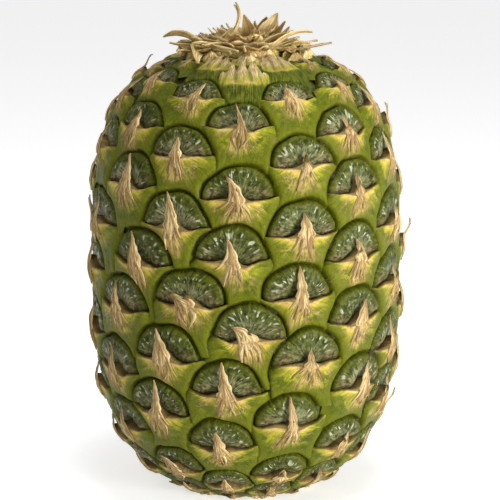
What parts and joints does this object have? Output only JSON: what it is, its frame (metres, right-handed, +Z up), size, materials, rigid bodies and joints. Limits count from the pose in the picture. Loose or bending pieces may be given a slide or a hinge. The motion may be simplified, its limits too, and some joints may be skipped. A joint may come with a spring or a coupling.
{
  "type": "pineapple",
  "caption": "Whole ripe pineapple with green glossy eyes, yellow papery bracts and the dry torn stub of its crown, standing on its base",
  "frame": {"origin": "centre of the flat spot the fruit stands on", "axes": "+Z up along the axis of the fruit, -Y to the front that the picture shows, +X to the right of the picture"},
  "size_m": [0.127, 0.1274, 0.1966],
  "materials": {
    "fruit_skin": "waxy green eyes with yellow-green bracts and straw-coloured papery tips",
    "dry_leaf": "dry fibrous straw-brown leaf",
    "cut_stalk": "dry fibrous cut end"
  },
  "bodies": {
    "root": {"fruit": "fruit_skin", "crown_stub": "dry_leaf", "stalk_stub": "cut_stalk"}
  },
  "joints": []
}
